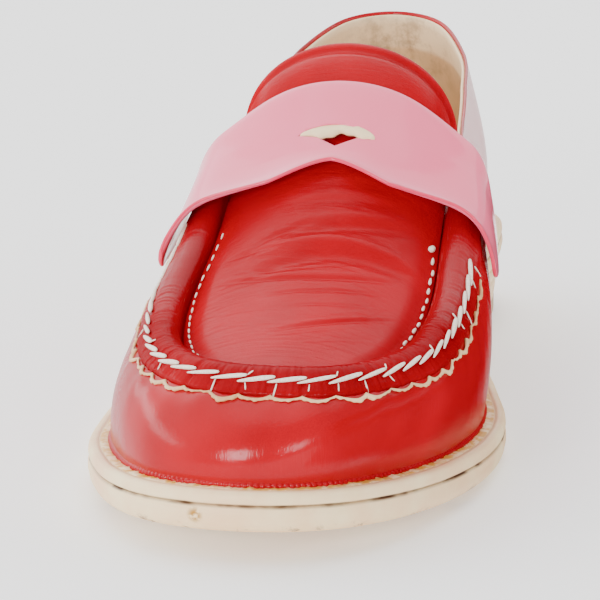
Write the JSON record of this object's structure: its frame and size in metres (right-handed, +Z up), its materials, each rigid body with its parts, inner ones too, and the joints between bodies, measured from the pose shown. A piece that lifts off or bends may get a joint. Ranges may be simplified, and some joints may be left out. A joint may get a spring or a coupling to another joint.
{
  "type": "penny loafer",
  "caption": "Low-heeled patent loafer for the right foot with a raised apron seam, a tongue and a slotted saddle strap over the instep.",
  "frame": {"origin": "on the floor, under the middle of the shoe's box", "axes": "+Z up, toe towards -Y and heel towards +Y, inner side of the right foot towards +X"},
  "size_m": [0.097, 0.276, 0.0924],
  "materials": {
    "red_patent": "high-gloss patent coat over wrinkled leather",
    "pink_patent": "smooth patent coat, glossy",
    "sole_leather": "smooth natural leather edge, waxed",
    "welt_leather": "natural leather with a stitch groove",
    "heel_leather": "stacked natural leather, waxed",
    "top_lift_rubber": "matte rubber",
    "insole_leather": "matte lining leather, worn"
  },
  "bodies": {
    "root": {"outsole": "sole_leather", "welt": "welt_leather", "heel_stack": "heel_leather", "heel_top_lift": "top_lift_rubber", "insole": "insole_leather", "upper": "red_patent", "apron_tongue": "red_patent", "saddle_strap": "pink_patent"}
  },
  "joints": []
}
